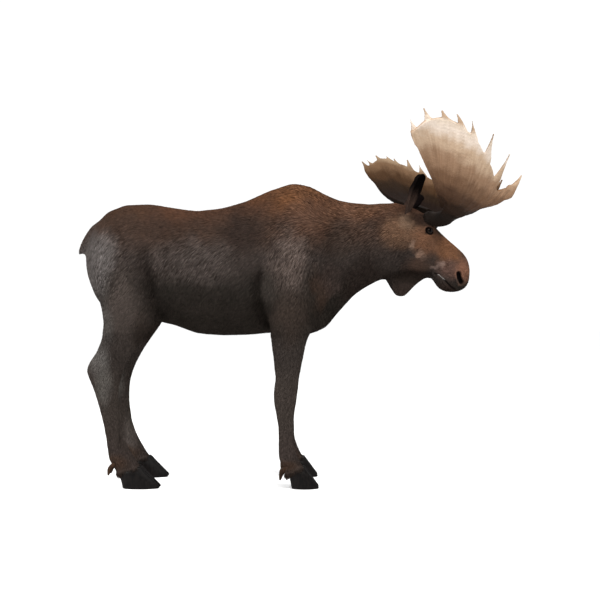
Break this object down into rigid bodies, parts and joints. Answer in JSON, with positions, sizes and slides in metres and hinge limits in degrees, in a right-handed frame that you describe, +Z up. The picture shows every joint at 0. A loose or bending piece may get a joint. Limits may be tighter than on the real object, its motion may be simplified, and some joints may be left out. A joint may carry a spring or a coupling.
{
  "type": "bull moose, standing life-size model",
  "caption": "Adult bull moose standing square on all four legs, with broad palmate antlers, a humped shoulder, a long overhanging muzzle and a bell under the throat.",
  "frame": {"origin": "on the ground, under the middle of the whole animal's box, antlers included", "axes": "+X towards the nose, +Y towards the animal's left, +Z up"},
  "size_m": [2.9522, 1.611, 2.331],
  "materials": {
    "coat": "short close hair, warm brown above and near black below",
    "antler": "bone, dark brown at the base to cream at the tips, finely furrowed",
    "hoof": "satin black horn",
    "eye": "wet, very dark brown"
  },
  "bodies": {
    "root": {"trunk": "coat", "neck": "coat", "head": "coat", "bell": "coat", "tail": "coat", "front_leg_left": "coat", "front_foreleg_left": "coat", "hind_leg_left": "coat", "hind_foreleg_left": "coat", "ear_left": "coat", "antler_beam_left": "antler", "antler_palm_left": "antler", "antler_brow_left": "antler", "eye_left": "eye", "hoof_front_left_a": "hoof", "dewclaw_front_left_a": "hoof", "hoof_front_left_b": "hoof", "dewclaw_front_left_b": "hoof", "hoof_hind_left_a": "hoof", "dewclaw_hind_left_a": "hoof", "hoof_hind_left_b": "hoof", "dewclaw_hind_left_b": "hoof", "front_leg_right": "coat", "front_foreleg_right": "coat", "hind_leg_right": "coat", "hind_foreleg_right": "coat", "ear_right": "coat", "antler_beam_right": "antler", "antler_palm_right": "antler", "antler_brow_right": "antler", "eye_right": "eye", "hoof_front_right_a": "hoof", "dewclaw_front_right_a": "hoof", "hoof_front_right_b": "hoof", "dewclaw_front_right_b": "hoof", "hoof_hind_right_a": "hoof", "dewclaw_hind_right_a": "hoof", "hoof_hind_right_b": "hoof", "dewclaw_hind_right_b": "hoof"}
  },
  "joints": []
}
